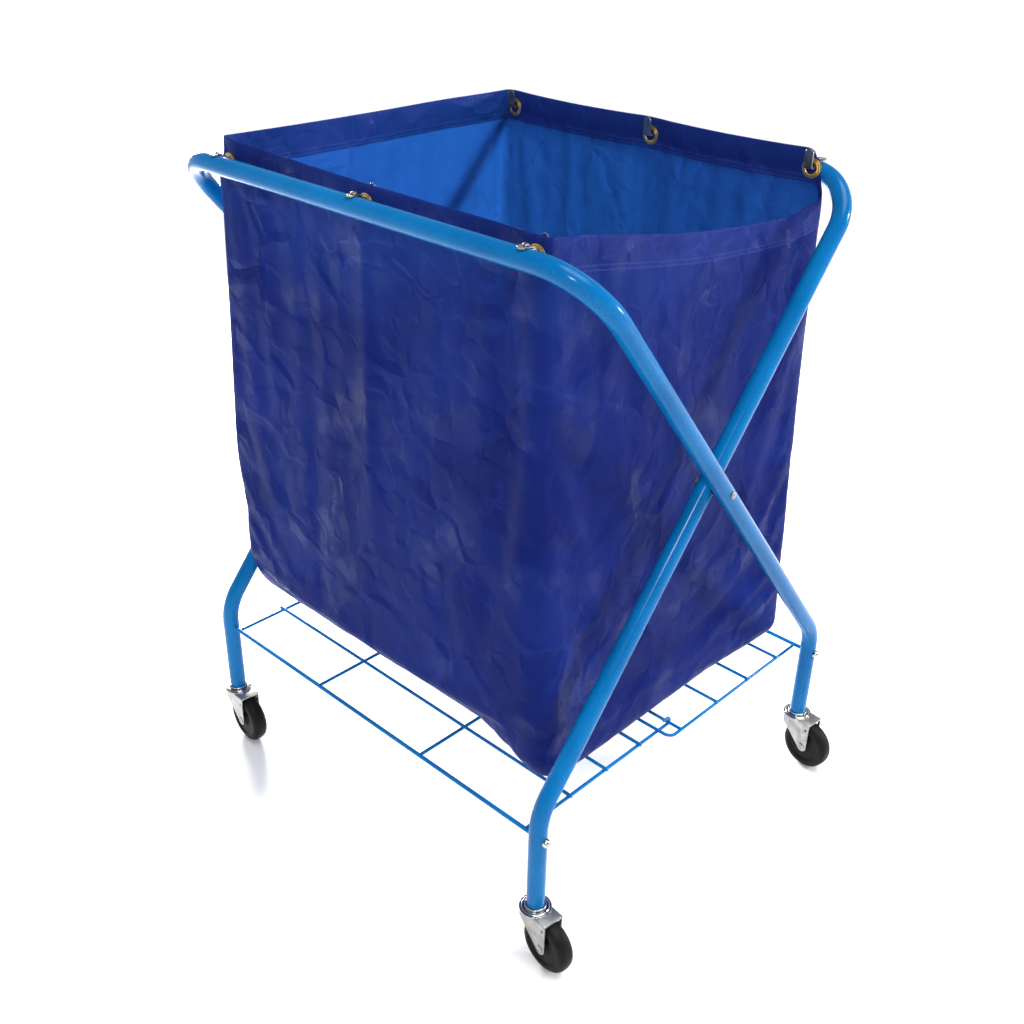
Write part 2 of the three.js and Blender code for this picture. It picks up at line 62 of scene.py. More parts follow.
# ---- driving sizes, from the frame --------------------------------------------------------

MM = 0.001
MID_Y = middle("outer_frame").y
TUBE_R = 12.7 * MM
WIRE_R = 2.5 * MM
ROD_R = 3 * MM
RAIL_BEND_R = 76 * MM
LEG_BEND_R = 80 * MM
KNEE_Z = 252 * MM
TUBE_END_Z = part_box("outer_frame")[0].z
LEG_X = 306 * MM
RAIL_X = 288 * MM
RAIL_Z = 966 * MM
OUTER_Y = 369 * MM
INNER_Y = 341 * MM
ROD_Z = middle("inner_rod_pin_near").z
PIVOT_Z = middle("pivot_spacer_near").z
WHEEL_R = 41 * MM
TRAIL = 28 * MM
CASTER_YAW = math.radians(-5)
OUTER_BODY = "outer_frame_body"
INNER_BODY = "inner_frame_body"
ENDS = {"near": -1, "far": 1}


# ---- node materials -----------------------------------------------------------------------


class Nodes:
    """A material's node tree with short calls for the nodes used here."""

    def __init__(self, name, **shader):
        self.material = bpy.data.materials.new(name)
        self.material.use_nodes = True
        self.tree = self.material.node_tree
        self.shader = self.tree.nodes["Principled BSDF"]
        for socket, value in shader.items():
            self.shader.inputs[socket.replace("_", " ")].default_value = value

    def add(self, kind, inputs=None, **settings):
        node = self.tree.nodes.new(kind)
        for name, value in settings.items():
            setattr(node, name, value)
        for key, value in (inputs or {}).items():
            self.feed(node.inputs[key], value)
        return node

    def feed(self, socket, value):
        if isinstance(value, bpy.types.NodeSocket):
            self.tree.links.new(value, socket)
        else:
            socket.default_value = value

    def into_shader(self, socket, value):
        self.feed(self.shader.inputs[socket], value)

    def math(self, operation, a, b=0.0, c=0.0, clamp=False):
        node = self.add("ShaderNodeMath", {0: a, 1: b, 2: c}, operation=operation)
        node.use_clamp = clamp
        return node.outputs[0]

    def place(self, kind="Object"):
        return self.add("ShaderNodeTexCoord").outputs[kind]

    def noise(self, vector, scale, detail=2.0, roughness=0.5):
        inputs = {"Vector": vector, "Scale": scale, "Detail": detail, "Roughness": roughness}
        return self.add("ShaderNodeTexNoise", inputs).outputs["Fac"]

    def ramp(self, factor, stops):
        node = self.add("ShaderNodeValToRGB", {"Fac": factor})
        elements = node.color_ramp.elements
        while len(elements) < len(stops):
            elements.new(0.5)
        for element, (position, color) in zip(elements, stops):
            element.position = position
            element.color = (*color, 1)
        return node.outputs["Color"]

    def warped(self, vector, scale, amount):
        """The vector pushed about by a slow noise, so that cells and folds don't look regular."""
        noise = self.add("ShaderNodeTexNoise", {"Vector": vector, "Scale": scale, "Detail": 2.0})
        push = self.vector("SCALE", noise.outputs["Color"], Scale=amount)
        return self.vector("ADD", vector, push)

    def vector(self, operation, a, b=None, output=0, **inputs):
        inputs[0] = a
        if b is not None:
            inputs[1] = b
        return self.add("ShaderNodeVectorMath", inputs, operation=operation).outputs[output]

    def crumple(self, vector, scale):
        """Height of facets about 1/scale wide, each leaning its own way, and the distance to a crease."""
        cells = {"Vector": vector, "Scale": scale}
        cell = self.add("ShaderNodeTexVoronoi", cells)
        edge = self.add("ShaderNodeTexVoronoi", cells, feature="DISTANCE_TO_EDGE").outputs["Distance"]
        lean = self.vector("SUBTRACT", cell.outputs["Color"], (0.5, 0.5, 0.5))
        offset = self.vector("SUBTRACT", vector, cell.outputs["Position"])
        height = self.vector("DOT_PRODUCT", lean, offset, "Value")
        fade = self.remap(edge, 0.0, 0.16, 0.0, scale)
        return self.math("MULTIPLY", height, fade), edge

    def remap(self, value, low, high, to_low, to_high):
        inputs = {"Value": value, 1: low, 2: high, 3: to_low, 4: to_high}
        return self.add("ShaderNodeMapRange", inputs).outputs[0]

    def mix(self, factor, a, b):
        node = self.add("ShaderNodeMix", data_type="RGBA")
        self.feed(node.inputs["Factor"], factor)
        self.feed(node.inputs["A"], a if isinstance(a, bpy.types.NodeSocket) else (*a, 1))
        self.feed(node.inputs["B"], b if isinstance(b, bpy.types.NodeSocket) else (*b, 1))
        return node.outputs["Result"]

    def bump(self, height, strength, distance, normal=None):
        inputs = {"Height": height, "Strength": strength, "Distance": distance}
        node = self.add("ShaderNodeBump", inputs)
        if normal is not None:
            self.feed(node.inputs["Normal"], normal)
        return node.outputs["Normal"]


def paint_material(name, deep, bright):
    """Glossy powder coat: fine flecks, slow colour drift, a faint orange peel."""
    m = Nodes(name, Metallic=0.0, IOR=1.5, Specular_IOR_Level=0.14)
    place = m.place()
    flecks = m.noise(place, 1500, 1.0, 0.6)
    drift = m.noise(place, 9, 2.0)
    tone = m.math("MULTIPLY_ADD", m.remap(flecks, 0.35, 0.65, -0.5, 0.5), 0.9, drift, True)
    m.into_shader("Base Color", m.mix(tone, deep, bright))
    m.into_shader("Roughness", m.remap(m.noise(place, 60, 4.0), 0.3, 0.7, 0.13, 0.21))
    m.into_shader("Normal", m.bump(m.noise(place, 420, 1.0), 0.05, 0.0002))
    return m.material


def metal_material(name, dark, light, rough_low, rough_high, metallic=1.0, scale=240.0):
    """Plated or worn metal: cloudy tone, fine scratches and changing roughness."""
    m = Nodes(name, Metallic=metallic)
    place = m.place()
    cloud = m.noise(place, scale / 4, 4.0, 0.6)
    stretch = m.add("ShaderNodeMapping", {"Vector": place, "Scale": (1.0, 1.0, 9.0)}).outputs[0]
    scratch = m.noise(stretch, scale * 3, 2.0, 0.7)
    m.into_shader("Base Color", m.ramp(cloud, [(0.3, dark), (0.65, light)]))
    m.into_shader("Roughness", m.remap(scratch, 0.3, 0.7, rough_low, rough_high))
    m.into_shader("Normal", m.bump(scratch, 0.12, 0.0002))
    return m.material


def rubber_material(name, base, dusty, rough_low, rough_high):
    """Black moulded rubber or plastic with a dusty bloom and a fine moulded grain."""
    m = Nodes(name, Specular_IOR_Level=0.14)
    place = m.place()
    dust = m.noise(place, 45, 5.0, 0.65)
    grain = m.noise(place, 1400, 2.0)
    m.into_shader("Base Color", m.ramp(dust, [(0.42, base), (0.8, dusty)]))
    m.into_shader("Roughness", m.remap(dust, 0.3, 0.7, rough_low, rough_high))
    m.into_shader("Normal", m.bump(grain, 0.3, 0.0002))
    return m.material


HEM = 45 * MM  # depth of the folded hem
STITCH_ROWS = (HEM - 3 * MM, HEM - 9 * MM)
THREAD = 0.9 * MM
STITCH_PITCH = 4.5 * MM


def cloth_material():
    """Royal blue woven, coated cloth. UV is metres: U round the bag, V down from its top edge."""
    m = Nodes("bag_cloth", Specular_Tint=(0.42, 0.6, 1.0, 1))
    uv = m.place("UV")
    place = m.place()
    apart = m.add("ShaderNodeSeparateXYZ", {"Vector": uv})
    across, down = apart.outputs["X"], apart.outputs["Y"]

    def threads(coordinate, pitch):
        return m.math("SINE", m.math("MULTIPLY", coordinate, 2 * math.pi / pitch))

    weave = m.math("MULTIPLY", threads(across, 1.3 * MM), threads(down, 1.3 * MM))
    stretched = m.add("ShaderNodeMapping", {"Vector": uv, "Scale": (0.12, 1.0, 1.0)}).outputs[0]
    slub = m.noise(stretched, 500, 2.0)
    cloud = m.noise(place, 7, 3.0, 0.5)
    large, large_edge = m.crumple(m.warped(place, 9, 0.07), 10.0)
    small, small_edge = m.crumple(m.warped(place, 20, 0.03), 27.0)
    long_where = m.remap(cloud, 0.48, 0.6, 0.0, 1.0)
    long_lines = m.math("MULTIPLY", m.remap(large_edge, 0.0, 0.03, 1.0, 0.0), long_where)
    short_where = m.remap(m.noise(place, 12, 2.0), 0.52, 0.64, 0.0, 1.0)
    short_lines = m.math("MULTIPLY", m.remap(small_edge, 0.0, 0.05, 1.0, 0.0), short_where)
    painted_crease_highlights = m.math("MAXIMUM", long_lines, short_lines)
    in_hem = m.math("LESS_THAN", down, HEM)
    stitches = None
    for row in STITCH_ROWS:
        near_row = m.math("LESS_THAN", m.math("ABSOLUTE", m.math("SUBTRACT", down, row)), THREAD)
        dash = m.math("LESS_THAN", m.math("FRACT", m.math("DIVIDE", across, STITCH_PITCH)), 0.68)
        one = m.math("MULTIPLY", near_row, dash)
        stitches = one if stitches is None else m.math("MAXIMUM", stitches, one)
    deep, mid, worn = (0.009, 0.015, 0.13), (0.011, 0.021, 0.165), (0.015, 0.03, 0.21)
    # The lighter blue given to the crease lines is a painted highlight, standing in for creases catching the
    # light.
    crease_highlight_blue, thread_blue = (0.022, 0.05, 0.3), (0.04, 0.08, 0.36)
    base = m.ramp(cloud, [(0.3, deep), (0.5, mid), (0.75, worn)])
    base = m.mix(m.remap(slub, 0.35, 0.75, 0.0, 0.12), base, worn)
    # Painted highlight: the crease lines are mixed towards the lighter crease blue.
    base = m.mix(m.math("MULTIPLY", painted_crease_highlights, 0.55), base, crease_highlight_blue)
    base = m.mix(m.math("MULTIPLY", in_hem, 0.2), base, deep)
    base = m.mix(m.math("MULTIPLY", stitches, 0.6), base, thread_blue)
    m.into_shader("Base Color", base)
    glossy = m.remap(m.noise(m.warped(place, 12, 0.08), 9, 6.0, 0.6), 0.54, 0.62, 0.0, 1.0)
    m.into_shader("Specular IOR Level", m.math("MULTIPLY_ADD", glossy, 0.075, 0.045))
    m.into_shader("Roughness", m.remap(glossy, 0.0, 1.0, 0.36, 0.24))
    fine = m.bump(m.math("MULTIPLY_ADD", slub, 0.8, weave), 0.3, 0.0002)
    creased = m.bump(m.math("MULTIPLY_ADD", small, 0.3, large), 1.0, 0.013, fine)
    sewn = m.bump(m.math("SUBTRACT", in_hem, m.math("MULTIPLY", stitches, 0.5)), 0.7, 0.0009, creased)
    m.into_shader("Normal", sewn)
    glow = m.add("ShaderNodeBsdfTranslucent", {"Color": (0.12, 0.34, 0.68, 1), "Normal": sewn})
    share = m.math("SUBTRACT", 0.4, m.math("MULTIPLY", in_hem, 0.22))
    blend = m.add("ShaderNodeMixShader", {0: share, 1: m.shader.outputs[0], 2: glow.outputs[0]})
    m.feed(m.tree.nodes["Material Output"].inputs["Surface"], blend.outputs[0])
    return m.material


TUBE_PAINT = paint_material("tube_paint", (0.0, 0.075, 0.25), (0.003, 0.18, 0.46))
WIRE_PAINT = paint_material("wire_paint", (0.0, 0.09, 0.31), (0.004, 0.2, 0.52))
HOOK_STEEL = metal_material("hook_steel", (0.17, 0.165, 0.16), (0.42, 0.41, 0.4), 0.15, 0.34, 0.9)
BRASS = metal_material("eyelet_brass", (0.74, 0.42, 0.07), (0.95, 0.66, 0.2), 0.16, 0.32, 0.85)
CHROME = metal_material("chrome", (0.34, 0.34, 0.34), (0.62, 0.61, 0.6), 0.08, 0.24)
ZINC = metal_material("zinc_plate", (0.24, 0.23, 0.22), (0.46, 0.45, 0.43), 0.26, 0.46)
RUBBER = rubber_material("wheel_rubber", (0.003, 0.0027, 0.003), (0.011, 0.0095, 0.0095), 0.4, 0.65)
SPACER = rubber_material("spacer_plastic", (0.01, 0.01, 0.011), (0.03, 0.03, 0.032), 0.35, 0.5)
CLOTH = cloth_material()


# ---- mesh building ------------------------------------------------------------------------


def mesh_object(name, points, faces, material, smooth_angle=40.0):
    mesh = bpy.data.meshes.new(name)
    mesh.from_pydata([tuple(p) for p in points], [], faces)
    mesh.validate()
    mesh.materials.append(material)
    obj = bpy.data.objects.new(name, mesh)
    bpy.context.scene.collection.objects.link(obj)
    mesh.shade_smooth()
    mesh.set_sharp_from_angle(angle=math.radians(smooth_angle))
    return obj


def joined(name, objects):
    """One object of several that share a material."""
    points, faces = [], []
    for obj in objects:
        start = len(points)
        points += [obj.matrix_world @ v.co for v in obj.data.vertices]
        faces += [[start + i for i in p.vertices] for p in obj.data.polygons]
    material = objects[0].data.materials[0]
    for obj in objects:
        bpy.data.objects.remove(obj)
    return mesh_object(name, points, faces, material)


def at(x, y, z):
    """A point of the cart, given about the middle of its rails."""
    return Vector((x, MID_Y + y, z))


def bent(corners, radius, step_angle=5.0):
    """Points and tangents of straight runs joined by round bends."""
    corners = [Vector(c) for c in corners]
    radii = radius if isinstance(radius, (list, tuple)) else [radius] * (len(corners) - 2)
    stations = [(corners[0], (corners[1] - corners[0]).normalized())]
    for before_c, corner, after_c, bend_r in zip(corners, corners[1:], corners[2:], radii):
        before = (corner - before_c).normalized()
        after = (after_c - corner).normalized()
        turn = before.angle(after)
        axis = before.cross(after).normalized()
        start = corner - before * bend_r * math.tan(turn / 2)
        spoke = -axis.cross(before) * bend_r
        steps = max(3, round(math.degrees(turn) / step_angle))
        for k in range(steps + 1):
            spin = Quaternion(axis, turn * k / steps)
            stations.append((start - spoke + spin @ spoke, spin @ before))
    stations.append((corners[-1], (corners[-1] - corners[-2]).normalized()))
    return stations


def sweep(name, stations, radius, material, sides=24, inner=0.0):
    """A round rod, or a tube with an inside, along stations; rings turn with the path."""
    point, tangent = stations[0]
    side = tangent.orthogonal().normalized()
    rings = []
    for point, next_tangent in stations:
        side = tangent.rotation_difference(next_tangent) @ side
        tangent = next_tangent
        up = tangent.cross(side)
        angles = [2 * math.pi * k / sides for k in range(sides)]
        rings.append([(point, math.cos(a) * side + math.sin(a) * up) for a in angles])
    loops = [[c + d * radius for c, d in ring] for ring in rings]
    if inner > 0:
        loops += [[c + d * inner for c, d in ring] for ring in reversed(rings)]
    else:
        nose = radius * 0.3
        for index, sign in ((0, -1), (-1, 1)):
            direction = stations[index][1]
            ring = [c + d * (radius - nose) for c, d in rings[index]]
            ring = [p + sign * direction * nose for p in ring]
            loops.insert(0, ring) if index == 0 else loops.append(ring)
    points = [p for loop in loops for p in loop]
    faces = []
    count = len(loops)
    for i in range(count if inner > 0 else count - 1):
        for k in range(sides):
            after, onward = (k + 1) % sides, (i + 1) % count
            faces.append([i * sides + k, i * sides + after, onward * sides + after, onward * sides + k])
    if inner <= 0:
        faces.append(list(range(sides))[::-1])
        faces.append([(count - 1) * sides + k for k in range(sides)])
    return mesh_object(name, points, faces, material)


def turned(name, profile, material, place, axis=(0, 0, 1), sides=40):
    """A turned piece: (radius, height) pairs about axis through place. It closes where radius is 0."""
    spin = Vector((0, 0, 1)).rotation_difference(Vector(axis))
    points, rows = [], []
    for radius, height in profile:
        if radius < 1e-7:
            rows.append([len(points)])
            points.append(spin @ Vector((0, 0, height)) + place)
            continue
        rows.append(range(len(points), len(points) + sides))
        for k in range(sides):
            angle = 2 * math.pi * k / sides
            local = Vector((radius * math.cos(angle), radius * math.sin(angle), height))
            points.append(spin @ local + place)
    pairs = [pair for pair in zip(rows, rows[1:]) if len(pair[0]) > 1 or len(pair[1]) > 1]
    if len(rows[0]) > 1 and len(rows[-1]) > 1:
        pairs.append((rows[-1], rows[0]))
    faces = []
    for low, high in pairs:
        for k in range(sides):
            after = (k + 1) % sides
            if len(low) == 1:
                faces.append([low[0], high[after], high[k]])
            elif len(high) == 1:
                faces.append([low[k], low[after], high[0]])
            else:
                faces.append([low[k], low[after], high[after], high[k]])
    return mesh_object(name, points, faces, material)


def rounded_profile(corners, radius, steps=3):
    """A (radius, height) outline with its sharp corners eased; points on the axis stay."""
    eased = []
    count = len(corners)
    for i, corner in enumerate(corners):
        here = Vector(corner)
        before, after = Vector(corners[i - 1]), Vector(corners[(i + 1) % count])
        reach = min(radius, (before - here).length / 2.5, (after - here).length / 2.5)
        if here.x < 1e-7 or reach < 1e-6:
            eased.append(tuple(here))
            continue
        first = here + (before - here).normalized() * reach
        last = here + (after - here).normalized() * reach
        for k in range(steps + 1):
            t = k / steps
            eased.append(tuple(first * (1 - t) ** 2 + here * 2 * t * (1 - t) + last * t * t))
    return eased


def bevelled(obj, width, segments=2, angle=35):
    modifier = obj.modifiers.new("edges", "BEVEL")
    modifier.width = width
    modifier.segments = segments
    modifier.limit_method = "ANGLE"
    modifier.angle_limit = math.radians(angle)
    modifier.harden_normals = False
    return obj


def stands_for(obj, body, slot, *nodes):
    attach(obj, body)
    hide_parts(*nodes)
    return obj


# ---- frames and pivots --------------------------------------------------------------------


def build_frames():
    for node, side, half_y, body in (
        ("outer_frame", -1, OUTER_Y, OUTER_BODY),
        ("inner_frame", 1, INNER_Y, INNER_BODY),
    ):
        corners = [
            at(-side * LEG_X, -half_y, TUBE_END_Z),
            at(-side * LEG_X, -half_y, KNEE_Z),
            at(side * RAIL_X, -half_y, RAIL_Z),
            at(side * RAIL_X, half_y, RAIL_Z),
            at(-side * LEG_X, half_y, KNEE_Z),
            at(-side * LEG_X, half_y, TUBE_END_Z),
        ]
        radii = [LEG_BEND_R, RAIL_BEND_R, RAIL_BEND_R, LEG_BEND_R]
        tube = sweep(f"{node}_tube", bent(corners, radii, 4.0), TUBE_R, TUBE_PAINT, 40, TUBE_R - 1.5 * MM)
        stands_for(tube, body, "tube_paint", node)


def dome(radius, height, seat, steps=6):
    """Profile points from a rim at seat up over a dome to the axis."""
    return [
        (radius * math.cos(math.pi / 2 * k / steps), seat + height * math.sin(math.pi / 2 * k / steps))
        for k in range(1, steps + 1)
    ]


def build_pivots():
    head_seat = OUTER_Y + TUBE_R + 0.3 * MM
    nut_seat = INNER_Y - TUBE_R - 0.3 * MM
    spacer_y = (OUTER_Y + INNER_Y) / 2
    for end, sign in ENDS.items():
        centre, axis = at(0, 0, PIVOT_Z), (0, sign, 0)
        rim = 5 * MM
        bolt = [(0, nut_seat - 6.5 * MM), (3 * MM, nut_seat - 6 * MM), (3 * MM, head_seat), (rim, head_seat)]
        bolt += [(rim, head_seat + 1.1 * MM)] + dome(rim, 2 * MM, head_seat + 1.1 * MM)
        piece = turned(f"pivot_bolt_{end}_fine", bolt, ZINC, centre, axis, 32)
        stands_for(piece, OUTER_BODY, "zinc_plate", f"pivot_bolt_{end}")
        ring = [(3.4 * MM, -MM), (9 * MM, -MM), (9 * MM, MM), (3.4 * MM, MM)]
        washer = rounded_profile(ring, 0.6 * MM)
        piece = turned(f"pivot_spacer_{end}_fine", washer, SPACER, at(0, sign * spacer_y, PIVOT_Z), axis)
        stands_for(piece, OUTER_BODY, "spacer_plastic", f"pivot_spacer_{end}")
        hexagon = [(3.9 * MM, -5 * MM), (5.8 * MM, -5 * MM), (5.8 * MM, 0), (3.9 * MM, 0)]
        piece = turned(f"pivot_nut_{end}_fine", hexagon, ZINC, at(0, sign * nut_seat, PIVOT_Z), axis, 6)
        piece.data.set_sharp_from_angle(angle=math.radians(20))
        stands_for(bevelled(piece, 0.5 * MM), OUTER_BODY, "zinc_plate", f"pivot_nut_{end}")


# ---- wire shelf ---------------------------------------------------------------------------

HINGE_LIFT = WIRE_R + 0.15 * MM
WELD_LIFT = 2 * WIRE_R - 1.5 * MM
OUTER_SIDE_Y = 344 * MM
INNER_SIDE_Y = 318 * MM
CROSS_Y = 113 * MM
EDGE_X = -26 * MM
OUTER_LONG_X = (87 * MM, 168.5 * MM, 249 * MM)
INNER_LONG_X = (-219.5 * MM, -143.5 * MM, -68 * MM)


def shelf_point(rod_x, x, y, lift=0.0):
    """A point of a shelf half, tilted about its rod so that the two halves overlap at the hinge."""
    slope = HINGE_LIFT / LEG_X
    rise = (rod_x - x) * slope if rod_x > 0 else -(x - rod_x) * slope
    return at(x, y, ROD_Z + lift + rise)


def weld(name, place):
    """A small flattened bead where two wires meet."""
    bead = [(0, -1.9 * MM)] + [
        (3.4 * MM * math.sin(math.pi * k / 8), -1.9 * MM * math.cos(math.pi * k / 8)) for k in range(1, 8)
    ]
    return turned(name, bead + [(0, 1.9 * MM)], WIRE_PAINT, place, sides=14)


def build_shelf_half(node, rod_x, rod_half, body, wires, long_x, long_half, side_y, stretch):
    def rod(corners, radius=WIRE_R, bend=12 * MM):
        return sweep("wire", bent(corners, bend, 12.0), radius, WIRE_PAINT, 16)

    parts = [rod([at(rod_x, -rod_half, ROD_Z), at(rod_x, rod_half, ROD_Z)], ROD_R)]
    parts += [rod(corners, bend=bend) for corners, bend in wires]
    for y in (-CROSS_Y, CROSS_Y):
        parts.append(rod([shelf_point(rod_x, rod_x, y), shelf_point(rod_x, stretch, y)]))
    for x in long_x:
        ends = [shelf_point(rod_x, x, y, WELD_LIFT) for y in (-long_half, long_half)]
        parts.append(rod(ends))
    for x in (*long_x, rod_x):
        for y in (-side_y, -CROSS_Y, CROSS_Y, side_y):
            lift = 0.0 if x == rod_x else WELD_LIFT / 2
            parts.append(weld("weld", shelf_point(rod_x, x, y, lift)))
    stands_for(joined(f"{node}_wires", parts), body, "wire_paint", node)


def build_shelf():
    rim = [
        shelf_point(LEG_X, LEG_X - 4 * MM, -OUTER_SIDE_Y),
        shelf_point(LEG_X, EDGE_X, -OUTER_SIDE_Y),
        shelf_point(LEG_X, EDGE_X, OUTER_SIDE_Y),
        shelf_point(LEG_X, LEG_X - 4 * MM, OUTER_SIDE_Y),
    ]
    hinge = [shelf_point(LEG_X, 0, y) for y in (-OUTER_SIDE_Y, OUTER_SIDE_Y)]
    rod_half = OUTER_Y + TUBE_R + 5 * MM
    wires = [(rim, 12 * MM), (hinge, 12 * MM)]
    half = ("outer_shelf_half", LEG_X, rod_half, "outer_shelf_body", wires)
    build_shelf_half(*half, OUTER_LONG_X, OUTER_SIDE_Y + MM, OUTER_SIDE_Y, 0.0)

    curl = 2 * WIRE_R + 0.3 * MM
    wires = []
    for sign in ENDS.values():
        y = sign * INNER_SIDE_Y
        low = shelf_point(-LEG_X, curl, y).z
        corners = [
            shelf_point(-LEG_X, -LEG_X + 4 * MM, y),
            at(curl, y, low),
            at(curl, y, low + 2 * curl),
            at(-9 * MM, y, low + 2 * curl + 0.4 * MM),
        ]
        wires.append((corners, curl - 0.05 * MM))
    rod_half = INNER_Y - TUBE_R - 0.6 * MM
    half = ("inner_shelf_half", -LEG_X, rod_half, "inner_shelf_body", wires)
    build_shelf_half(*half, INNER_LONG_X, INNER_SIDE_Y + 5 * MM, INNER_SIDE_Y, -65 * MM)


def build_rod_ends():
    for end, sign in ENDS.items():
        axis = (0, sign, 0)
        for kind, x, half_y, body in (
            ("outer", LEG_X, OUTER_Y, "outer_shelf_body"),
            ("inner", -LEG_X, INNER_Y, INNER_BODY),
        ):
            seat = half_y + TUBE_R + 0.3 * MM
            rim = 6.4 * MM
            cap = [(3.3 * MM, seat), (rim, seat), (rim, seat + 1.6 * MM)]
            cap += dome(rim, 5.6 * MM, seat + 1.6 * MM, 8)
            cap += [(0, seat + 5.6 * MM), (3.3 * MM, seat + 5.6 * MM)]
            piece = turned(f"{kind}_rod_cap_{end}_fine", cap, CHROME, at(x, 0, ROD_Z), axis, 32)
            stands_for(piece, body, "chrome_trim", f"{kind}_rod_cap_{end}")
        start, stop = INNER_Y - TUBE_R - 0.3 * MM, INNER_Y + TUBE_R + 5 * MM
        line = [at(-LEG_X, sign * start, ROD_Z), at(-LEG_X, sign * stop, ROD_Z)]
        pin = sweep(f"inner_rod_pin_{end}_fine", bent(line, 0), ROD_R, WIRE_PAINT, 20)
        stands_for(pin, INNER_BODY, "wire_paint", f"inner_rod_pin_{end}")


# ---- hooks and eyelets --------------------------------------------------------------------

HOOK_Y = {
    "outer": {"near": -275 * MM, "middle": 0.0, "far": 275 * MM},
    "inner": {"near": -277 * MM, "middle": -8 * MM, "far": 265 * MM},
}
HOOK_W = 13 * MM
HOOK_T = 2 * MM
HOOK_TIP_Z = {"outer": 988 * MM, "inner": 999 * MM}
EYELET_Z = {"outer": 965 * MM, "inner": 972 * MM}
WALL_X = 267.5 * MM
RIVET_INWARD = 2 * MM


def build_hook(name, kind, side, y, body):
    """Flat strip: on the rail, down through the eyelet, up inside the bag; both ends are round."""
    top = RAIL_Z + TUBE_R + 0.3 * MM + HOOK_T / 2
    rail, inward = side * RAIL_X, -side
    way = {
        "outer": [(-9, 0), (6, 0), (19, -13), (31, -13.4)],
        "inner": [(-9, 0), (5, 0), (31, -9)],
    }
    corners = [at(rail + inward * out * MM, y, top + rise * MM) for out, rise in way[kind]]
    corners.append(at(rail + inward * 31 * MM, y, HOOK_TIP_Z[kind]))
    stations = bent(corners, [5 * MM, 4 * MM, 4 * MM] if kind == "outer" else [6 * MM, 4 * MM], 9.0)
    run = [0.0]
    for (a, _), (b, _) in zip(stations, stations[1:]):
        run.append(run[-1] + (b - a).length)
    round_steps = [HOOK_W / 2 * (1 - math.cos(math.pi / 2 * k / 6)) for k in range(7)]
    places = sorted({*run[1:-1], *round_steps, *[run[-1] - s for s in round_steps]})
    points, faces = [], []
    for s in places:
        index = max(i for i, r in enumerate(run) if r <= s + 1e-9)
        index = min(index, len(run) - 2)
        share = (s - run[index]) / (run[index + 1] - run[index])
        centre = stations[index][0].lerp(stations[index + 1][0], share)
        tangent = stations[index][1].lerp(stations[index + 1][1], share).normalized()
        normal = tangent.cross(Vector((0, 1, 0))).normalized()
        edge = min(s, run[-1] - s, HOOK_W / 2)
        half = max(math.sqrt(max((HOOK_W / 2) ** 2 - (HOOK_W / 2 - edge) ** 2, 0)), 0.4 * MM)
        for across, out in ((-1, -1), (1, -1), (1, 1), (-1, 1)):
            points.append(centre + Vector((0, across * half, 0)) + normal * out * HOOK_T / 2)
    rows = len(points) // 4
    for i in range(rows - 1):
        for k in range(4):
            after = (k + 1) % 4
            faces.append([4 * i + k, 4 * i + after, 4 * i + 4 + after, 4 * i + 4 + k])
    faces += [[3, 2, 1, 0], [4 * rows - 4, 4 * rows - 3, 4 * rows - 2, 4 * rows - 1]]
    strip = mesh_object(f"{name}_hook_strip", points, faces, HOOK_STEEL)
    stands_for(bevelled(strip, 0.45 * MM, 2, 50), body, "hook_steel", f"{name}_hook")
    seat = TUBE_R + 0.6 * MM + HOOK_T
    head = [(0, TUBE_R - 4 * MM), (2 * MM, TUBE_R - 4 * MM), (2 * MM, seat), (4.2 * MM, seat)]
    head += [(4.2 * MM, seat + 0.4 * MM)] + dome(4.2 * MM, 1.7 * MM, seat + 0.4 * MM)
    centre = at(rail + inward * RIVET_INWARD, y, RAIL_Z)
    rivet = turned(f"{name}_hook_rivet_fine", head, HOOK_STEEL, centre, sides=28)
    stands_for(rivet, body, "hook_steel", f"{name}_hook_rivet")


def build_eyelet(name, kind, side, y, body):
    """Two dished brass flanges rolled together through the cloth."""
    inner, outer, hole, rim = 1.3 * MM, 2.7 * MM, 8 * MM, 14 * MM
    outline = [
        (hole, -outer * 0.8),
        (hole + 1.4 * MM, -outer),
        (hole + 3.2 * MM, -outer * 0.72),
        (rim - 1 * MM, -outer * 0.66),
        (rim, -inner),
        (hole + 1.5 * MM, -inner),
        (hole + 1.5 * MM, inner),
        (rim, inner),
        (rim - 1 * MM, outer * 0.66),
        (hole + 3.2 * MM, outer * 0.72),
        (hole + 1.4 * MM, outer),
        (hole, outer * 0.8),
    ]
    profile = rounded_profile(outline, 0.7 * MM)
    centre = at(side * WALL_X, y, EYELET_Z[kind])
    ring = turned(f"{name}_eyelet_ring", profile, BRASS, centre, (1, 0, 0), 48)
    stands_for(ring, body, "eyelet_brass", f"{name}_eyelet")


def build_fittings():
    for kind, side, body in (("outer", -1, OUTER_BODY), ("inner", 1, INNER_BODY)):
        for place, y in HOOK_Y[kind].items():
            build_hook(f"{kind}_{place}", kind, side, y, body)
            build_eyelet(f"{kind}_{place}", kind, side, y, body)


# ---- casters ------------------------------------------------------------------------------

CROWN_Z = 85 * MM
CROWN_T = 3 * MM
FORK_HALF = 16.5 * MM
FORK_T = 2 * MM
FLANGE_Z = 91.5 * MM


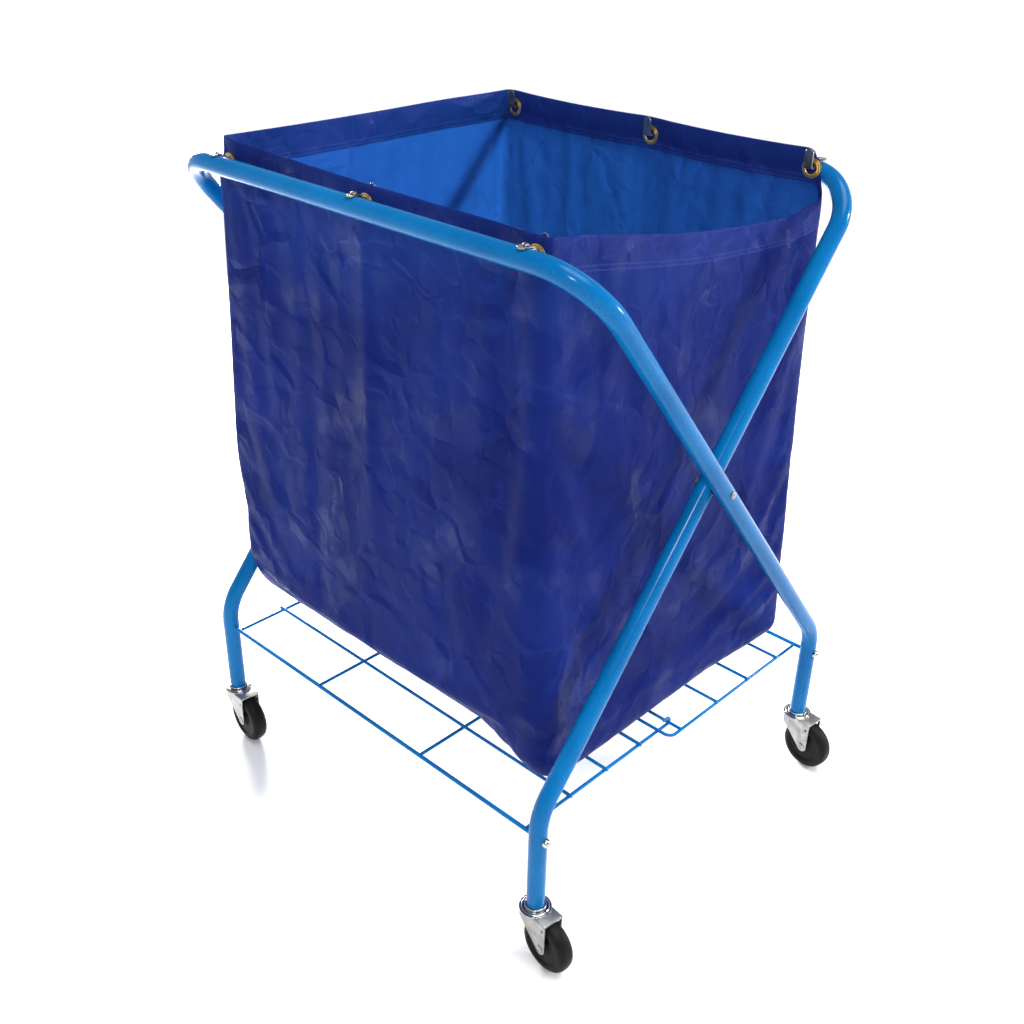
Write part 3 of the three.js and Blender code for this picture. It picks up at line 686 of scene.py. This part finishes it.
def extruded(name, outline, holes, depth, material, to_world):
    """A flat plate cut from an outline with round holes, given depth, placed by a matrix."""
    curve = bpy.data.curves.new(name, "CURVE")
    curve.dimensions = "2D"
    curve.fill_mode = "BOTH"
    curve.extrude = depth / 2
    turns = [2 * math.pi * k / 24 for k in range(24)]
    circles = [[(cx + r * math.cos(t), cy + r * math.sin(t)) for t in turns] for cx, cy, r in holes]
    for loop in [outline, *circles]:
        spline = curve.splines.new("POLY")
        spline.points.add(len(loop) - 1)
        spline.points.foreach_set("co", [c for x, y in loop for c in (x, y, 0, 1)])
        spline.use_cyclic_u = True
    drawn = bpy.data.objects.new(name, curve)
    bpy.context.scene.collection.objects.link(drawn)
    flat = bpy.data.meshes.new_from_object(drawn.evaluated_get(bpy.context.evaluated_depsgraph_get()))
    points = [to_world @ v.co for v in flat.vertices]
    faces = [list(p.vertices) for p in flat.polygons]
    bpy.data.objects.remove(drawn)
    return mesh_object(name, points, faces, material)


def arc(cx, cy, radius, start, stop, steps):
    return [
        (cx + radius * math.cos(start + (stop - start) * k / steps),
         cy + radius * math.sin(start + (stop - start) * k / steps))
        for k in range(steps + 1)
    ]


def welded_edges(obj, width):
    """Merges the doubled points of a filled curve, then rounds its edges."""
    weld_points = obj.modifiers.new("merge", "WELD")
    weld_points.merge_threshold = 0.02 * MM
    return bevelled(obj, width)


def build_caster(name, x, y, body):
    swivel_body, wheel_body = f"{name}_swivel_body", f"{name}_wheel_body"
    axis_foot = at(x, y, 0)
    turn = Matrix.Translation(axis_foot) @ Matrix.Rotation(CASTER_YAW, 4, "Z")
    node = f"{name}_caster"

    stem = [
        (0, CROWN_Z - 3.8 * MM),
        (8 * MM, CROWN_Z - 3.8 * MM),
        (8 * MM, CROWN_Z - 0.3 * MM),
        (5 * MM, CROWN_Z - 0.3 * MM),
        (5 * MM, FLANGE_Z),
        (15 * MM, FLANGE_Z),
        (15 * MM, TUBE_END_Z - 0.3 * MM),
        (10.6 * MM, TUBE_END_Z - 0.3 * MM),
        (10.6 * MM, TUBE_END_Z + 30 * MM),
        (0, TUBE_END_Z + 30 * MM),
    ]
    piece = turned(f"{node}_stem_fine", rounded_profile(stem, 0.9 * MM), CHROME, axis_foot)
    stands_for(piece, body, "chrome_trim", f"{node}_stem")

    race_z = CROWN_Z + CROWN_T + 0.3 * MM
    race = [
        (5.3 * MM, race_z),
        (22.5 * MM, race_z),
        (22.5 * MM, race_z + 1.3 * MM),
        (19.6 * MM, race_z + 1.5 * MM),
        (18.6 * MM, race_z + 2.6 * MM),
        (5.3 * MM, FLANGE_Z - 0.3 * MM),
    ]
    piece = turned(f"{node}_race_fine", rounded_profile(race, 0.5 * MM), CHROME, axis_foot, sides=56)
    stands_for(piece, body, "chrome_trim", f"{node}_race")

    back = -TRAIL - 8.5 * MM
    front_r = 22 * MM
    meet = math.acos(FORK_HALF / front_r)
    crown_outline = [(-FORK_HALF, back), (FORK_HALF, back)]
    crown_outline += arc(0, 0, front_r, -meet, math.pi + meet, 30)
    crown_place = turn @ Matrix.Translation((0, 0, CROWN_Z + CROWN_T / 2))
    crown = extruded("crown", crown_outline, [(0, 0, 5.6 * MM)], CROWN_T, ZINC, crown_place)
    plate_top = CROWN_Z + CROWN_T - 0.4 * MM
    end_r = 8.5 * MM
    plate_outline = [(14 * MM, plate_top), (back, plate_top)]
    plate_outline += arc(-TRAIL, WHEEL_R, end_r, math.pi, 2 * math.pi - math.radians(18), 16)
    plate_outline += [(14 * MM, CROWN_Z - 12 * MM)]
    holes = [(-TRAIL, WHEEL_R, 3.2 * MM), (-TRAIL - 3 * MM, 76 * MM, 2 * MM)]
    upright = Matrix(((0, 0, 1, 0), (1, 0, 0, 0), (0, 1, 0, 0), (0, 0, 0, 1)))
    parts = [crown]
    for side in (-1, 1):
        place = turn @ Matrix.Translation((side * (FORK_HALF - FORK_T / 2), 0, 0)) @ upright
        parts.append(extruded("plate", plate_outline, holes, FORK_T, ZINC, place))
    fork = joined(f"{node}_fork_fine", parts)
    stands_for(welded_edges(fork, 0.6 * MM), swivel_body, "zinc_plate", f"{node}_fork")

    hub = turn @ Vector((0, -TRAIL, WHEEL_R))
    across = turn.to_3x3() @ Vector((1, 0, 0))
    seat = FORK_HALF + 0.3 * MM
    head = [(5.5 * MM, seat), (5.5 * MM, seat + 0.6 * MM), (4.2 * MM, seat + 1.3 * MM)]
    head += [(1.6 * MM, seat + 1.3 * MM), (1.2 * MM, seat + 0.7 * MM), (0, seat + 0.7 * MM)]
    axle = [(r, -h) for r, h in reversed(head)] + [(3 * MM, -seat), (3 * MM, seat)] + head
    piece = turned(f"{node}_axle_fine", axle, ZINC, hub, across, 28)
    stands_for(piece, swivel_body, "zinc_plate", f"{node}_axle")

    half = [
        (3.3 * MM, -13 * MM),
        (11 * MM, -13 * MM),
        (12.5 * MM, -10.2 * MM),
        (26 * MM, -10.2 * MM),
        (28.5 * MM, -12.6 * MM),
        (32 * MM, -12.8 * MM),
        (37 * MM, -11 * MM),
        (40 * MM, -7.5 * MM),
        (WHEEL_R, -2.5 * MM),
    ]
    outline = rounded_profile(half + [(r, -h) for r, h in reversed(half)], 1.6 * MM)
    wheel = turned(f"{node}_wheel_fine", outline, RUBBER, hub, across, 72)
    stands_for(wheel, wheel_body, "wheel_rubber", f"{node}_wheel")


def build_casters():
    for end, sign in ENDS.items():
        build_caster(f"outer_{end}", LEG_X, sign * OUTER_Y, OUTER_BODY)
        build_caster(f"inner_{end}", -LEG_X, sign * INNER_Y, INNER_BODY)


# ---- bag ----------------------------------------------------------------------------------

BAG_TOP_Z = 998 * MM
BAG_FLOOR_Z = 236 * MM
BAG_HALF_X = WALL_X
BAG_HALF_Y = 293 * MM
CLOTH_STEP = 9.5 * MM
CLOTH_T = 0.9 * MM
NEAR_HEM_SAG = 73 * MM
FAR_HEM_SAG = 3 * MM
OUTER_HEM_SAG = 9 * MM
HEM_LOW_AT = 0.86  # share of the near side, from the outer rail, where the hem is lowest
UNDER_R = {"outer": 128 * MM, "inner": 26 * MM, "near": 36 * MM, "far": 48 * MM}
CORNER_R = {(-1, -1): 34 * MM, (-1, 1): 12 * MM, (1, -1): 12 * MM, (1, 1): 20 * MM}
SETTLE_FRAMES = 30


def smooth_step(value, low, high):
    t = np.clip((value - low) / (high - low), 0, 1)
    return t * t * (3 - 2 * t)


def hem_drop(a, b):
    """How far the hem's top edge hangs below its full height, at a and b in -1..1 across and along."""
    t = (a + 1) / 2
    slope = np.sin(np.pi / 2 * np.clip(t / HEM_LOW_AT, 0, 1)) ** 1.3
    corner = 1 - 0.17 * smooth_step(t, HEM_LOW_AT, 1.0)
    near = NEAR_HEM_SAG * slope * corner * np.clip((-b - 0.965) / 0.035, 0, 1)
    far = FAR_HEM_SAG * (1 - a**2) * np.clip(b, 0, 1) ** 8
    slant = OUTER_HEM_SAG * (1 - a) / 2 * (1 - ((b + 1) / 2) ** 3)
    along_rail = 1.5 * MM * np.abs(np.sin(np.pi * b * 1.06)) * np.abs(a) ** 8
    return near + far + slant + along_rail * (np.abs(b) < 0.94)


def tucked(z, radius):
    """How far a wall has turned under at height z, on its way round the bottom edge."""
    depth = np.clip(BAG_FLOOR_Z + radius - z, 0, radius)
    return radius - np.sqrt(radius**2 - depth**2)


def rounded_corners(x, y, half_x, half_y, z):
    """Eases the four upright corners: small at the hem, wide below."""
    for (side_x, side_y), full in CORNER_R.items():
        radius = 6 * MM + (full - 6 * MM) * (1 - smooth_step(z, 0.72, 0.95))
        u = (side_x * x - (half_x(side_x) - radius)) / radius
        v = (side_y * y - (half_y(side_y) - radius)) / radius
        inside = (u > 0) & (v > 0)
        u, v = np.clip(u, 0, 1), np.clip(v, 0, 1)
        shrink = np.maximum(u, v) / np.maximum(np.hypot(u, v), 1e-9)
        x = np.where(inside, side_x * (half_x(side_x) - radius + radius * u * shrink), x)
        y = np.where(inside, side_y * (half_y(side_y) - radius + radius * v * shrink), y)
    return x, y


def crease_field(along, height, creases):
    """Sharp little ridges and valleys, from rows of place, height, angle from upright, sizes and rise."""
    field = np.zeros_like(along)
    for place, level, angle, half_length, half_width, rise in creases:
        du, dv = along - place, height - level
        down = du * math.sin(angle) + dv * math.cos(angle)
        off = du * math.cos(angle) - dv * math.sin(angle)
        off = off + 0.05 * half_length * np.sin(down / half_length * 2.2)
        ridge = np.clip(1 - np.abs(off) / half_width, 0, 1) ** 1.4
        taper = np.clip(1 - (down / half_length) ** 2, 0, 1)
        field += rise * ridge * taper
    return field


def scattered_creases(rng, count, reach, rise):
    """Creases spread over a wall, most of them near upright and a few lying across."""
    creases = []
    for _ in range(count):
        angle = rng.normal(0, 0.55) if rng.random() < 0.75 else rng.normal(math.pi / 2, 0.35)
        place, level = rng.uniform(-reach, reach), rng.uniform(0.27, 0.9)
        half_length, half_width = rng.uniform(0.035, 0.11), rng.uniform(0.009, 0.018)
        height = rng.choice((-1, 1)) * rise * rng.uniform(0.4, 1)
        creases.append((place, level, angle, half_length, half_width, height))
    return creases


def hook_fans(rng, hooks, eyelet_z, rise):
    """Creases that spread downwards from each hook."""
    creases = []
    for hook_y in hooks:
        for angle in np.linspace(-0.85, 0.85, 6) + rng.normal(0, 0.07, 6):
            reach = rng.uniform(0.03, 0.075)
            start = eyelet_z - 0.024
            place = hook_y + math.sin(angle) * (0.018 + reach)
            level = start - math.cos(angle) * reach
            creases.append((place, level, -angle, reach, 0.010, rise * rng.uniform(0.5, 1)))
    return creases


def wall_relief(rng, a, x, y, z):
    """How far each wall stands out from its plain shape, as four arrays: outer, inner, near, far."""
    to_hook = np.min([np.abs(y - hook_y) for hook_y in HOOK_Y["outer"].values()], axis=0)
    upper = smooth_step(z, 0.36, 0.92)
    between = -7 * MM * (1 - np.exp(-to_hook / 0.07)) * upper
    lean = np.exp(-(((x - 0.06) / 0.17) ** 2))
    rim = BAG_TOP_Z - hem_drop(a, np.full_like(a, -1.0))
    below = rim - z
    slack = lean * (-15 * MM * np.exp(-below / 0.03) + 9 * MM * np.exp(-(((below - 0.13) / 0.07) ** 2)))
    ridge = 7 * MM * np.exp(-np.abs(y - 0.01) / 0.022) * smooth_step(z, 0.45, 0.75)
    valley = -6 * MM * np.exp(-(((y + 0.235) / 0.02) ** 2)) * smooth_step(z, 0.4, 0.7)
    outer = between + (ridge + valley) * smooth_step(z, 0.96, 0.92)
    near = slack + 4 * MM * np.sin(x / 0.06 + z / 0.3) * smooth_step(z, 0.3, 0.5) * smooth_step(z, 0.93, 0.8)
    far = 5 * MM * np.sin(x / 0.07 + 1.0) * smooth_step(z, 0.3, 0.6) * smooth_step(z, 0.99, 0.92)

    def creased(wall, kind):
        fans = hook_fans(rng, HOOK_Y[kind].values(), EYELET_Z[kind], 3.2 * MM)
        return wall + crease_field(y, z, scattered_creases(rng, 26, 0.27, 3 * MM) + fans)

    outer, inner = creased(outer, "outer"), creased(between, "inner")
    near += crease_field(x, z, scattered_creases(rng, 22, 0.25, 3 * MM))
    far += crease_field(x, z, scattered_creases(rng, 50, 0.25, 3.5 * MM))
    return outer, inner, near, far


def to_eyelets(x, y, z):
    """Distance of each point from the nearest eyelet's centre, measured in its wall."""
    distances = []
    for kind, side in (("outer", -1), ("inner", 1)):
        other_side = np.where(x * side < 0, 1.0, 0.0)
        for hook_y in HOOK_Y[kind].values():
            distances.append(np.hypot(y - hook_y, z - EYELET_Z[kind]) + other_side)
    return np.min(distances, axis=0)


def hung_shape(shares):
    """Points of the hung bag for lattice shares a, b in -1..1 across and along and c in 0..1 upwards."""
    a, b, c = np.array(shares).T
    drop = hem_drop(a, b) * np.clip(1 - (1 - c) / 0.7, 0, 1) ** 1.3
    z = BAG_FLOOR_Z + c * (BAG_TOP_Z - BAG_FLOOR_Z) - drop
    levels = [0.236, 0.40, 0.64, 0.90, 1.0]
    wide_x = np.interp(z, levels, [0.006, 0.008, 0.005, 0, 0])
    far_y = np.interp(z, levels, [0.022, 0.026, 0.014, 0, 0])
    near_y = np.interp(z, levels, [0.024, 0.016, 0.006, 0, 0])
    middle_height = smooth_step(z, 0.42, 0.55) * smooth_step(z, 0.985, 0.94)
    far_y += 18 * MM * smooth_step(-a, 0.2, 1.0) * middle_height
    far_y -= 14 * MM * smooth_step(a, 0.4, 1.0) * smooth_step(z, 0.92, 0.98)
    near_y += 10 * MM * smooth_step(a, 0.3, 1.0) * smooth_step(z, 0.985, 0.95)
    outer_r = UNDER_R["outer"] * (1 - 0.5 * smooth_step(-b, 0.5, 1.0))

    def half_x(side):
        return BAG_HALF_X + wide_x - tucked(z, outer_r if side < 0 else UNDER_R["inner"])

    def half_y(side):
        wide = near_y if side < 0 else far_y
        return BAG_HALF_Y + wide - tucked(z, UNDER_R["near" if side < 0 else "far"])

    x = np.where(a < 0, a * half_x(-1), a * half_x(1))
    y = np.where(b < 0, b * half_y(-1), b * half_y(1))
    rng = np.random.default_rng(11)
    outer, inner, near, far = wall_relief(rng, a, x, y, z)
    edge_a, edge_b = smooth_step(np.abs(b), 1.0, 0.9), smooth_step(np.abs(a), 1.0, 0.9)
    on_a, on_b = np.abs(a) > 0.999, np.abs(b) > 0.999
    near_eyelet = to_eyelets(x, y, z)
    free = smooth_step(near_eyelet, 0.016, 0.045)
    x += np.where(on_a, edge_a * free * np.where(a < 0, -outer, inner), 0)
    y += np.where(on_b, edge_b * np.where(b < 0, -near, far), 0)
    x, y = rounded_corners(x, y, half_x, half_y, z)
    return np.stack([x, y, z], axis=1), near_eyelet


def bag_lattice():
    """Cells of an open box: lattice points on its walls and floor, with faces and UVs in metres."""
    nx = round(2 * BAG_HALF_X / CLOTH_STEP)
    ny = round(2 * BAG_HALF_Y / CLOTH_STEP)
    nz = round((BAG_TOP_Z - BAG_FLOOR_Z) / CLOTH_STEP)
    index, keys, faces, uvs = {}, [], [], []

    def point(i, j, k):
        if (i, j, k) not in index:
            index[(i, j, k)] = len(keys)
            keys.append((i, j, k))
        return index[(i, j, k)]

    height = BAG_TOP_Z - BAG_FLOOR_Z
    lap_x, lap_y = 2 * BAG_HALF_X, 2 * BAG_HALF_Y

    def quad(cells, coordinates):
        faces.append([point(*c) for c in cells])
        uvs.append(coordinates)

    for k in range(nz):
        v0, v1 = height * (1 - k / nz), height * (1 - (k + 1) / nz)
        for i in range(nx):
            u0, u1 = lap_x * i / nx, lap_x * (i + 1) / nx
            near = [(i, 0, k), (i + 1, 0, k), (i + 1, 0, k + 1), (i, 0, k + 1)]
            quad(near, [(u0, v0), (u1, v0), (u1, v1), (u0, v1)])
            far = [(i + 1, ny, k), (i, ny, k), (i, ny, k + 1), (i + 1, ny, k + 1)]
            quad(far, [(u1, v0), (u0, v0), (u0, v1), (u1, v1)])
        for j in range(ny):
            u0, u1 = lap_y * j / ny, lap_y * (j + 1) / ny
            inner = [(nx, j, k), (nx, j + 1, k), (nx, j + 1, k + 1), (nx, j, k + 1)]
            quad(inner, [(u0, v0), (u1, v0), (u1, v1), (u0, v1)])
            outer = [(0, j + 1, k), (0, j, k), (0, j, k + 1), (0, j + 1, k + 1)]
            quad(outer, [(u1, v0), (u0, v0), (u0, v1), (u1, v1)])
    for i in range(nx):
        for j in range(ny):
            cells = [(i, j + 1, 0), (i + 1, j + 1, 0), (i + 1, j, 0), (i, j, 0)]
            quad(cells, [(lap_x * p / nx, height + lap_y * q / ny) for p, q, _ in cells])
    shares = [(2 * i / nx - 1, 2 * j / ny - 1, k / nz) for i, j, k in keys]
    return shares, faces, uvs


def holding(shares, points, near_eyelet):
    """How firmly each point is held: fully at the hem and eyelets, well at seams, lightly elsewhere."""
    a, b, c = np.array(shares).T
    to_corner = np.maximum(1 - np.abs(a), 1 - np.abs(b)) * BAG_HALF_X
    on_wall = np.maximum(np.abs(a), np.abs(b)) > 0.999
    to_corner = np.where(on_wall, (1 - np.minimum(np.abs(a), np.abs(b))) * BAG_HALF_X, to_corner)
    held = 0.12 + 0.35 * np.exp(-to_corner / 0.03) + 0.3 * (1 - smooth_step(points[:, 2], 0.25, 0.36))
    held = np.where(on_wall & (near_eyelet < 17 * MM), 1.0, held)
    return np.where(c > 0.999, 1.0, np.clip(held, 0, 0.7))


def hang(bag, held):
    """Lets the cloth settle under its own weight from the hem and the eyelets that hold it."""
    group = bag.vertex_groups.new(name="held")
    for vertex, weight in enumerate(held):
        group.add([vertex], float(weight), "REPLACE")
    modifier = bag.modifiers.new("cloth", "CLOTH")
    settings = modifier.settings
    settings.quality = 6
    settings.mass = 0.2
    settings.air_damping = 3.0
    settings.tension_stiffness = settings.compression_stiffness = 16
    settings.shear_stiffness = 8
    settings.bending_stiffness = 1.5
    settings.shrink_min = -0.006
    settings.vertex_group_mass = "held"
    settings.pin_stiffness = 1.0
    modifier.collision_settings.use_collision = False
    modifier.collision_settings.use_self_collision = False
    modifier.point_cache.frame_start = 1
    modifier.point_cache.frame_end = SETTLE_FRAMES
    scene = bpy.context.scene
    for step in range(1, SETTLE_FRAMES + 1):
        scene.frame_set(step)
    settled = bag.evaluated_get(bpy.context.evaluated_depsgraph_get())
    points = [v.co.copy() for v in settled.data.vertices]
    bag.modifiers.remove(modifier)
    scene.frame_set(1)
    for vertex, point in zip(bag.data.vertices, points):
        vertex.co = point


def finished_mesh(obj):
    """Replaces an object's mesh by what its modifiers make of it."""
    made = bpy.data.meshes.new_from_object(obj.evaluated_get(bpy.context.evaluated_depsgraph_get()))
    obj.modifiers.clear()
    obj.data = made


def build_bag():
    shares, faces, uvs = bag_lattice()
    points, near_eyelet = hung_shape(shares)
    bag = mesh_object("bag_cloth_body", [at(*p) for p in points], faces, CLOTH, 180)
    layer = bag.data.uv_layers.new(name="cut")
    layer.data.foreach_set("uv", [c for quad in uvs for uv in quad for c in uv])
    hang(bag, holding(shares, points, near_eyelet))
    hem = bag.vertex_groups.new(name="hem")
    rows = HEM / (BAG_TOP_Z - BAG_FLOOR_Z)
    hem.add([i for i, (_, _, c) in enumerate(shares) if c > 1 - rows], 1.0, "REPLACE")
    skin = bag.modifiers.new("thickness", "SOLIDIFY")
    skin.thickness = 2 * CLOTH_T
    skin.vertex_group = "hem"
    skin.thickness_vertex_group = 0.5
    skin.offset = 0
    smooth = bag.modifiers.new("smooth", "SUBSURF")
    smooth.levels = smooth.render_levels = 1
    finished_mesh(bag)
    stands_for(bag, OUTER_BODY, "cloth", "bag")
    # The squash is straight and the eyelets move on an arc, so they meet only at rest and fully folded.
    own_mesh(bag)


# ---- studio -------------------------------------------------------------------------------


def area_light(name, place, target, size, power, size_y=None):
    light = bpy.data.lights.new(name, "AREA")
    light.shape = "RECTANGLE"
    light.size = size
    light.size_y = size_y or size
    light.energy = power
    obj = bpy.data.objects.new(name, light)
    obj.location = place
    obj.rotation_euler = (Vector(target) - Vector(place)).to_track_quat("-Z", "Y").to_euler()
    bpy.context.scene.collection.objects.link(obj)


def build_studio():
    half, corners = 300.0, ((-1, -1), (1, -1), (1, 1), (-1, 1))
    m = Nodes("studio_floor", Roughness=0.8, Specular_IOR_Level=0.1)
    tone = m.noise(m.place(), 3, 3.0)
    m.into_shader("Base Color", m.ramp(tone, [(0.3, (0.9, 0.9, 0.9)), (0.7, (0.92, 0.92, 0.92))]))
    points = [(half * x, half * y, 0) for x, y in corners]
    floor = mesh_object("studio_floor", points, [[0, 1, 2, 3]], m.material)
    world = bpy.data.worlds.new("studio")
    world.use_nodes = True
    nodes, links = world.node_tree.nodes, world.node_tree.links
    direction, apart = nodes.new("ShaderNodeTexCoord"), nodes.new("ShaderNodeSeparateXYZ")
    fade = nodes.new("ShaderNodeMapRange")  # white at the horizon, dimmer overhead
    for socket, value in {"From Min": 0.02, "From Max": 0.5, "To Min": 1.0, "To Max": 0.25}.items():
        fade.inputs[socket].default_value = value
    links.new(direction.outputs["Generated"], apart.inputs[0])
    links.new(apart.outputs["Z"], fade.inputs["Value"])
    nodes["Background"].inputs["Color"].default_value = (1.0, 1.0, 1.0, 1)
    links.new(fade.outputs["Result"], nodes["Background"].inputs["Strength"])
    bpy.context.scene.world = world
    bpy.context.scene.view_settings.view_transform = "Standard"
    overhead = bpy.data.lights.new("overhead", "SUN")
    overhead.energy = 2.7
    overhead.angle = math.radians(40)
    obj = bpy.data.objects.new("overhead", overhead)
    obj.rotation_euler = Vector((-0.15, 0.3, -1.0)).to_track_quat("-Z", "Y").to_euler()
    bpy.context.scene.collection.objects.link(obj)
    target = at(0, 0, 0.6)
    area_light("right", at(2.6, -2.4, 1.5), target, 0.35, 75)
    area_light("front", at(-2.1, -1.5, 2.55), target, 0.28, 36)
    area_light("behind", at(0.9, 2.3, 1.0), target, 1.0, 230)


def build_camera():
    data = bpy.data.cameras.new("camera")
    data.sensor_width = 36
    data.lens = 42.26
    camera = bpy.data.objects.new("camera", data)
    azimuth, elevation, roll = math.radians(-46.97), math.radians(29.36), math.radians(1.24)
    level = math.cos(elevation)
    forward = Vector((-math.sin(azimuth) * level, math.cos(azimuth) * level, -math.sin(elevation)))
    right = Vector((math.cos(azimuth), math.sin(azimuth), 0))
    up = right.cross(forward)
    x_axis = right * math.cos(roll) + up * math.sin(roll)
    y_axis = up * math.cos(roll) - right * math.sin(roll)
    turn = Matrix((x_axis, y_axis, -forward)).transposed()
    camera.matrix_world = Matrix.Translation(at(-1.18036, -1.09826, 1.3487)) @ turn.to_4x4()
    bpy.context.scene.collection.objects.link(camera)
    bpy.context.scene.camera = camera


build_frames()
build_pivots()
build_shelf()
build_rod_ends()
build_fittings()
build_casters()
build_bag()
build_studio()
build_camera()
